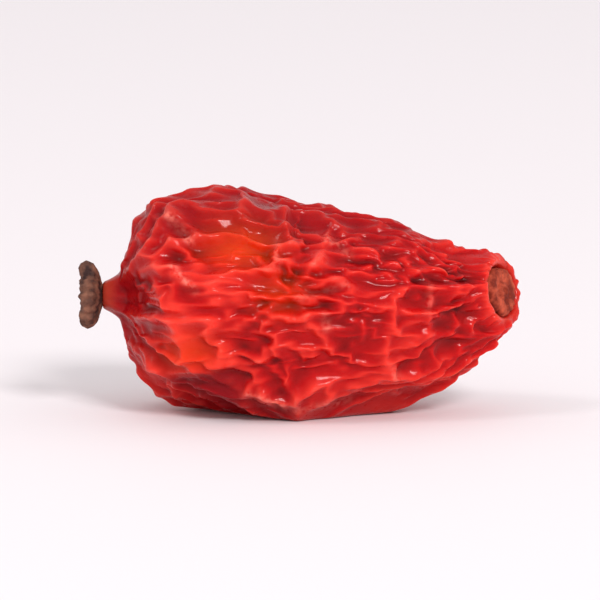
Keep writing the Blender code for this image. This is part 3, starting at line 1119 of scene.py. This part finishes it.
@dataclass(frozen=True)
class SkinTints:
    """Painted highlight, painted glow, painted shade and brown ends. A pair says where a tint starts and is
    complete.
    """

    front: Pair = (0.2, 1.2)
    stroke_width: float = 0.08
    facet_across: Pair = (-1.2, -1.9)
    facet_up: Pair = (1.00, 0.82)
    facet_slope: float = 0.13
    facet_middle: float = -2.6
    stigma_end: Pair = (-3.0, -4.0)
    stigma_end_shade: float = 0.60
    top: Pair = (3.2, 4.1)
    top_shade: float = 0.65
    shade_strength: float = 0.90
    under: Pair = (0.9, -0.2)
    under_shade: float = 0.5
    neck: Pair = (-4.05, -4.35)
    neck_radius: float = 0.6
    neck_brown: float = 0.75
    rim_radius: float = 0.56
    rim_width: float = 0.12
    rim_depth: float = -0.5
    rim_brown: float = 0.30

    def at(self, form: BerryForm, points: Array) -> dict[SkinMap, Array]:
        """How strong each tint is at each point.

        Args:
            form: The shape of the fruit.
            points: Points from its middle, one a row.

        Returns:
            A share from 0 to 1 for each point, by tint.
        """
        across, up = form.seen_from_front(points)
        near = eased(*self.front, -points[:, 1])
        # Painted light shining orange through the skin, partly over paler flesh
        glow = np.zeros(len(points))
        for x, level, wide, high, strength in ORANGE_GLOW_PATCHES:
            spread = ((across - x) / wide) ** 2 + ((up - level) / high) ** 2
            glow = np.maximum(glow, strength * np.exp(-spread))
        # Painted highlights along ridges of the front
        pale = np.zeros(len(points))
        for x1, up1, x2, up2, strength in PAINTED_HIGHLIGHT_STROKES:
            away = form.from_line(across, up, (x1, up1), (x2, up2))
            pale = np.maximum(pale, strength * np.exp(-((away / self.stroke_width) ** 2)))
        # Painted shade: on the lower-left facet, the stigma end, the top band and the underside
        edge = up - self.facet_slope * (across - self.facet_middle)
        facet = eased(*self.facet_across, across) * eased(*self.facet_up, edge) * near
        shade = np.maximum(facet, self.stigma_end_shade * eased(*self.stigma_end, across))
        shade = np.maximum(shade, self.top_shade * eased(*self.top, up))
        under = self.under_shade * eased(*self.under, up)
        neck = eased(*self.neck, points[:, 0]) * (form.from_neck(points) < self.neck_radius)
        out, level = form.from_scar(points)
        rim = np.exp(-(((out - self.rim_radius) / self.rim_width) ** 2)) * (level > self.rim_depth)
        return {
            SkinMap.PALE: pale * near,
            SkinMap.GLOW: glow * near,
            SkinMap.SHADE: np.clip(self.shade_strength * shade + under, 0, 1),
            SkinMap.ENDS: np.clip(self.neck_brown * neck + self.rim_brown * rim, 0, 1),
        }


@dataclass
class Fruit:
    """The fruit itself: skin, flesh and the neck that carries the stigma."""

    form: BerryForm
    finish: DriedSkinFinish
    tints: SkinTints = SkinTints()
    grid: int = 64
    large_folds: Slackness = Slackness(
        around=0.26, along=0.16, steps=230, bend=0.14, hold=0.08, highest=0.30, start=0.02, seed=3
    )
    small_folds: Slackness = Slackness(
        around=0.07, along=0.06, steps=50, bend=0.10, hold=0.10, highest=0.08, start=0.006, seed=5
    )
    fine_passes: int = 14
    fine_height: float = 0.03
    broad_passes: int = 160
    broad_height: float = 0.15

    def sphere(self) -> tuple[Mesh, Array]:
        """A cube of grid by grid faces a side, blown up to a unit sphere on which its lines wander.

        Returns:
            The mesh, still a cube, and its points on the sphere.
        """
        shape = bmesh.new()
        bmesh.ops.create_cube(shape, size=2)
        bmesh.ops.subdivide_edges(shape, edges=shape.edges[:], cuts=self.grid - 1, use_grid_fill=True)
        mesh = from_shape(shape, "fruit_skin")
        corners, _ = mesh_arrays(mesh)
        square = corners**2
        a = square[:, (1, 2, 0)]
        b = square[:, (2, 0, 1)]
        unit = corners * np.sqrt(1 - a / 2 - b / 2 + a * b / 3)
        return mesh, wandered(unit, MESH_WANDER)

    @staticmethod
    def subdivided(mesh: Mesh) -> Mesh:
        """Makes four quads of each and rounds them.

        Args:
            mesh: The mesh.

        Returns:
            A finer mesh.
        """
        piece = placed("subdivided", mesh)
        finer = piece.modifiers.new("finer", "SUBSURF")
        finer.levels = finer.render_levels = 1
        graph = bpy.context.evaluated_depsgraph_get()
        result = bpy.data.meshes.new_from_object(piece.evaluated_get(graph))
        bpy.data.objects.remove(piece)
        return result

    def build(self) -> None:
        """Makes the fruit."""
        mesh, unit = self.sphere()
        _, quads = mesh_arrays(mesh)
        body = self.form.surface(unit)
        coarse = SettlingSkin(body, quads, self.form.slack(body))
        mesh.vertices.foreach_set("co", coarse.settle(self.large_folds).ravel())
        mesh = self.subdivided(mesh)
        points, quads = mesh_arrays(mesh)
        fine = SettlingSkin(points, quads, self.form.slack(points))
        skin = fine.settle(self.small_folds)
        skin[:, 2] = np.maximum(skin[:, 2], -FRUIT_MIDDLE[2])
        normal = vertex_normals(skin, quads)
        no_fine = fine.smoothed(skin, self.fine_passes)
        no_broad = fine.smoothed(no_fine, self.broad_passes)
        maps = {
            SkinMap.FINE_RELIEF: ((skin - no_fine) * normal).sum(axis=1) / self.fine_height,
            SkinMap.BROAD_RELIEF: ((no_fine - no_broad) * normal).sum(axis=1) / self.broad_height,
            **self.tints.at(self.form, skin),
        }
        for entry, values in maps.items():
            set_attribute(mesh, entry, values)
        mesh.vertices.foreach_set("co", ((skin + FRUIT_MIDDLE) * MM).ravel())
        dress("fruit_skin", mesh, self.finish.build(), "fruit")


@dataclass
class TurnedPiece:
    """A small round piece of dry tissue, turned about its own axis and shrivelled.

    The profile is a line of radius and height from its seat, in millimetres. A wave of its rim says how
    many there are in one turn, their height as a share of the radius, and where they start.
    """

    name: str
    node: str
    slot: str
    profile: tuple[Pair, ...]
    place: Triple
    faces: Triple
    finish: DryTissueFinish
    waves: tuple[tuple[int, float, float], ...]
    steps: int = 120
    pleats: int = 26
    pleat_height: float = 0.025
    pleat_sway: float = 6.0
    pleat_fade: float = 1.5
    sway_scale: float = 2.0
    rim_bend: float = 1.5
    roughness: float = 0.02
    rough_scale: float = 9.0
    mottle_scale: float = 5.0

    def turned(self) -> Shape:
        """The plain turned shape about Z, in millimetres.

        Returns:
            The shape.
        """
        shape = bmesh.new()
        line = [shape.verts.new((radius, 0, height)) for radius, height in self.profile]
        edges = [shape.edges.new(pair) for pair in zip(line, line[1:])]
        bmesh.ops.subdivide_edges(shape, edges=edges, cuts=3, smooth=0.6)
        bmesh.ops.spin(
            shape,
            geom=shape.verts[:] + shape.edges[:],
            axis=(0, 0, 1),
            cent=(0, 0, 0),
            angle=2 * math.pi,
            steps=self.steps,
            use_merge=True,
        )
        bmesh.ops.remove_doubles(shape, verts=shape.verts[:], dist=1e-4)
        bmesh.ops.recalc_face_normals(shape, faces=shape.faces[:])
        return shape

    def shrivelled(self, shape: Shape) -> None:
        """Gives the piece an uneven rim, radial pleats and a rough skin.

        Args:
            shape: The turned shape, changed in place.
        """
        widest = max(radius for radius, _ in self.profile)
        for vertex in shape.verts:
            x, y, _ = vertex.co
            turn, out = math.atan2(y, x), math.hypot(x, y) / widest
            wave = sum(size * math.sin(count * turn + start) for count, size, start in self.waves)
            sway = self.pleat_sway * noise.noise(Vector((x, y, SWAY_LEVEL)) * self.sway_scale)
            pleat = self.pleat_height * math.sin(self.pleats * turn + sway) * out**self.pleat_fade
            rough = self.roughness * noise.noise(vertex.co * self.rough_scale)
            vertex.co.x *= 1 + wave * out
            vertex.co.y *= 1 + wave * out
            vertex.co.z *= 1 + self.rim_bend * wave * out**2
            vertex.co += vertex.normal * (pleat + rough)

    def build(self) -> None:
        """Makes the piece."""
        shape = self.turned()
        shape.normal_update()
        self.shrivelled(shape)
        turn = Vector(self.faces).to_track_quat("Z", "Y").to_matrix().to_4x4()
        move = Matrix.Translation((Vector(self.place) + Vector(FRUIT_MIDDLE)) * MM)
        relief = [noise.noise(vertex.co * self.mottle_scale) for vertex in shape.verts]
        bmesh.ops.transform(shape, matrix=move @ turn @ Matrix.Scale(MM, 4), verts=shape.verts[:])
        mesh = from_shape(shape, self.name)
        set_attribute(mesh, SkinMap.FINE_RELIEF, np.array(relief))
        dress(self.name, mesh, self.finish.build(), self.node)


def stigma(form: BerryForm) -> TurnedPiece:
    """The dried stigma: a crinkled button on the tip of the neck.

    Args:
        form: The shape of the fruit that it sits on.

    Returns:
        The piece, not yet built.
    """
    return TurnedPiece(
        name="stigma_button",
        node="stigma",
        slot="dried_stigma",
        profile=(
            (0.00, 0.20),
            (0.08, 0.21),
            (0.15, 0.27),
            (0.28, 0.33),
            (0.42, 0.40),
            (0.53, 0.41),
            (0.62, 0.36),
            (0.66, 0.26),
            (0.62, 0.14),
            (0.48, 0.05),
            (0.32, 0.00),
            (0.20, -0.04),
            (0.00, -0.05),
        ),
        place=(form.neck_tip - 0.03, 0, form.stigma_up),
        faces=(-1, 0, 0),
        finish=DryTissueFinish("shrivelled_stigma_tissue", "341c19", "865744", 0.16, 0.75, 0.6),
        waves=((5, 0.05, 0.6), (9, 0.03, 2.1), (14, 0.02, 0.3)),
    )


def stalk_scar(form: BerryForm) -> TurnedPiece:
    """The corky disc where the stalk came off.

    Args:
        form: The shape of the fruit that it sits in.

    Returns:
        The piece, not yet built.
    """
    return TurnedPiece(
        name="stalk_scar_disc",
        node="stalk_scar",
        slot="corky_scar",
        profile=(
            (0.00, 0.03),
            (0.05, 0.04),
            (0.09, 0.11),
            (0.15, 0.10),
            (0.20, 0.05),
            (0.30, 0.08),
            (0.40, 0.09),
            (0.46, 0.06),
            (0.50, 0.00),
            (0.50, -0.16),
            (0.40, -0.19),
            (0.00, -0.19),
        ),
        place=form.scar_place,
        faces=form.scar_faces,
        finish=DryTissueFinish("corky_abscission_scar", "74200f", "be4e34", 0.08, 0.85, 0.7),
        waves=((3, 0.03, 0.4), (7, 0.02, 1.3)),
        pleats=17,
        pleat_height=0.012,
    )


@dataclass(frozen=True)
class SoftBox:
    """A square diffused lamp: where it stands and its side, in millimetres, and its power in watts."""

    place: Triple
    side: float
    power: float

    def build(self, name: str, target: Vector) -> None:
        """Makes the lamp.

        Args:
            name: The lamp's name.
            target: Where it is turned to, in metres.
        """
        lamp = bpy.data.lights.new(name, "AREA")
        lamp.size = self.side * MM
        lamp.energy = self.power
        piece = placed(name, lamp)
        piece.location = Vector(self.place) * MM
        piece.rotation_euler = (target - piece.location).to_track_quat("-Z", "Y").to_euler()


@dataclass
class Studio:
    """Pale floor, white surroundings, soft boxes and the camera."""

    floor_side: float = 1000.0
    floor_colour: str = "f1e9ec"
    surround: float = 0.72
    camera_away: float = 150.0
    camera_field: float = 12.4
    sensor: float = 36.0
    camera_target: Triple = (0.0, 0.0, 2.35)
    boxes: tuple[SoftBox, ...] = (
        SoftBox((140, -340, 240), 100, 1.25),
        SoftBox((-300, -160, 420), 120, 0.40),
    )

    def floor(self) -> None:
        """A matt white board."""
        shape = bmesh.new()
        bmesh.ops.create_grid(shape, x_segments=2, y_segments=2, size=self.floor_side * MM / 2)
        mesh = from_shape(shape, "floor")
        material, tree, shader = new_shader("matt_white_board")
        look = {"Base Color": linear(self.floor_colour), "Roughness": 0.7, "Specular IOR Level": 0.2}
        set_inputs(tree, shader, look)
        mesh.materials.append(material)
        piece = placed("floor", mesh)

    def camera(self) -> None:
        """A long lens at the photograph's angle, a little above level."""
        lens = bpy.data.cameras.new("camera")
        lens.sensor_width = self.sensor
        lens.lens = self.sensor * self.camera_away / self.camera_field
        lens.clip_start = 1 * MM
        piece = placed("camera", lens)
        target = Vector(self.camera_target) * MM
        back = Vector((0, -math.cos(VIEW_RISE), math.sin(VIEW_RISE)))
        piece.location = target + back * self.camera_away * MM
        piece.rotation_euler = (-back).to_track_quat("-Z", "Y").to_euler()
        bpy.context.scene.camera = piece

    def build(self) -> None:
        """Sets up everything round the object."""
        self.floor()
        self.camera()
        for number, box in enumerate(self.boxes):
            box.build(f"soft_box_{number}", Vector(self.camera_target) * MM)
        world = bpy.data.worlds.new("white_surround")
        world.use_nodes = True
        light = world.node_tree.nodes["Background"]
        set_inputs(world.node_tree, light, {"Color": linear("ffffff"), "Strength": self.surround})
        scene = bpy.context.scene
        scene.world = world
        scene.view_settings.view_transform = "Standard"
        LOG.info("studio ready")


def main() -> None:
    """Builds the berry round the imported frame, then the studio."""
    logging.basicConfig(level=logging.INFO, format="%(name)s: %(message)s")
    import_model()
    form = BerryForm()
    Fruit(form, DriedSkinFinish()).build()
    stigma(form).build()
    stalk_scar(form).build()
    Studio().build()


if __name__ == "__main__":
    main()
